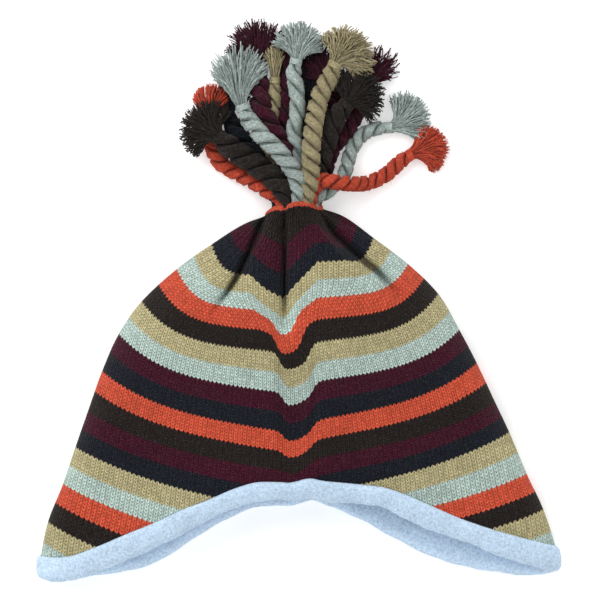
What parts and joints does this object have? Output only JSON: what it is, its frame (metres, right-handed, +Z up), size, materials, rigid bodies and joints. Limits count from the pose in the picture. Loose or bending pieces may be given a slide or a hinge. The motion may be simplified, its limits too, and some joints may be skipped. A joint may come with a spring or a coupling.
{
  "type": "jester beanie",
  "caption": "Knitted striped jester beanie with ear flaps, fleece lining and rim band, gathered to a bunch of thick twisted cords with frayed ends, lying flat on its back",
  "frame": {"origin": "on the table under the middle of the hat's body, without its cords", "axes": "+X towards the right-hand ear flap as seen from above, +Y from the rim towards the gathered neck, +Z up from the table, out of the hat's front"},
  "size_m": [0.3156, 0.3342, 0.0392],
  "materials": {
    "knit": "striped stocking-stitch knit in orange, brown, burgundy, navy, tan and mint",
    "fleece": "pale blue polar fleece",
    "yarn_mint": "thick twisted wool yarn",
    "yarn_tan": "thick twisted wool yarn",
    "yarn_orange": "thick twisted wool yarn",
    "yarn_brown": "thick twisted wool yarn",
    "yarn_burgundy": "thick twisted wool yarn",
    "yarn_navy": "thick twisted wool yarn"
  },
  "bodies": {
    "root": {"knit_shell": "knit", "fleece_lining": "fleece", "fleece_binding": "fleece", "cord_navy_left": "yarn_navy", "tuft_navy_left": "yarn_navy", "cord_tan_behind": "yarn_tan", "tuft_tan_behind": "yarn_tan", "cord_burgundy_mid": "yarn_burgundy", "tuft_burgundy_mid": "yarn_burgundy", "cord_navy_centre": "yarn_navy", "tuft_navy_centre": "yarn_navy", "cord_burgundy_upper": "yarn_burgundy", "tuft_burgundy_upper": "yarn_burgundy", "cord_burgundy_right": "yarn_burgundy", "tuft_burgundy_right": "yarn_burgundy", "cord_orange_left": "yarn_orange", "tuft_orange_left": "yarn_orange", "cord_burgundy_left": "yarn_burgundy", "tuft_burgundy_left": "yarn_burgundy", "cord_mint_centre": "yarn_mint", "tuft_mint_centre": "yarn_mint", "cord_brown_right": "yarn_brown", "tuft_brown_right": "yarn_brown", "cord_mint_right": "yarn_mint", "tuft_mint_right": "yarn_mint", "cord_brown_left": "yarn_brown", "tuft_brown_left": "yarn_brown", "cord_mint_left": "yarn_mint", "tuft_mint_left": "yarn_mint", "cord_tan_main": "yarn_tan", "tuft_tan_main": "yarn_tan", "cord_orange_right": "yarn_orange", "tuft_orange_right": "yarn_orange"}
  },
  "joints": []
}
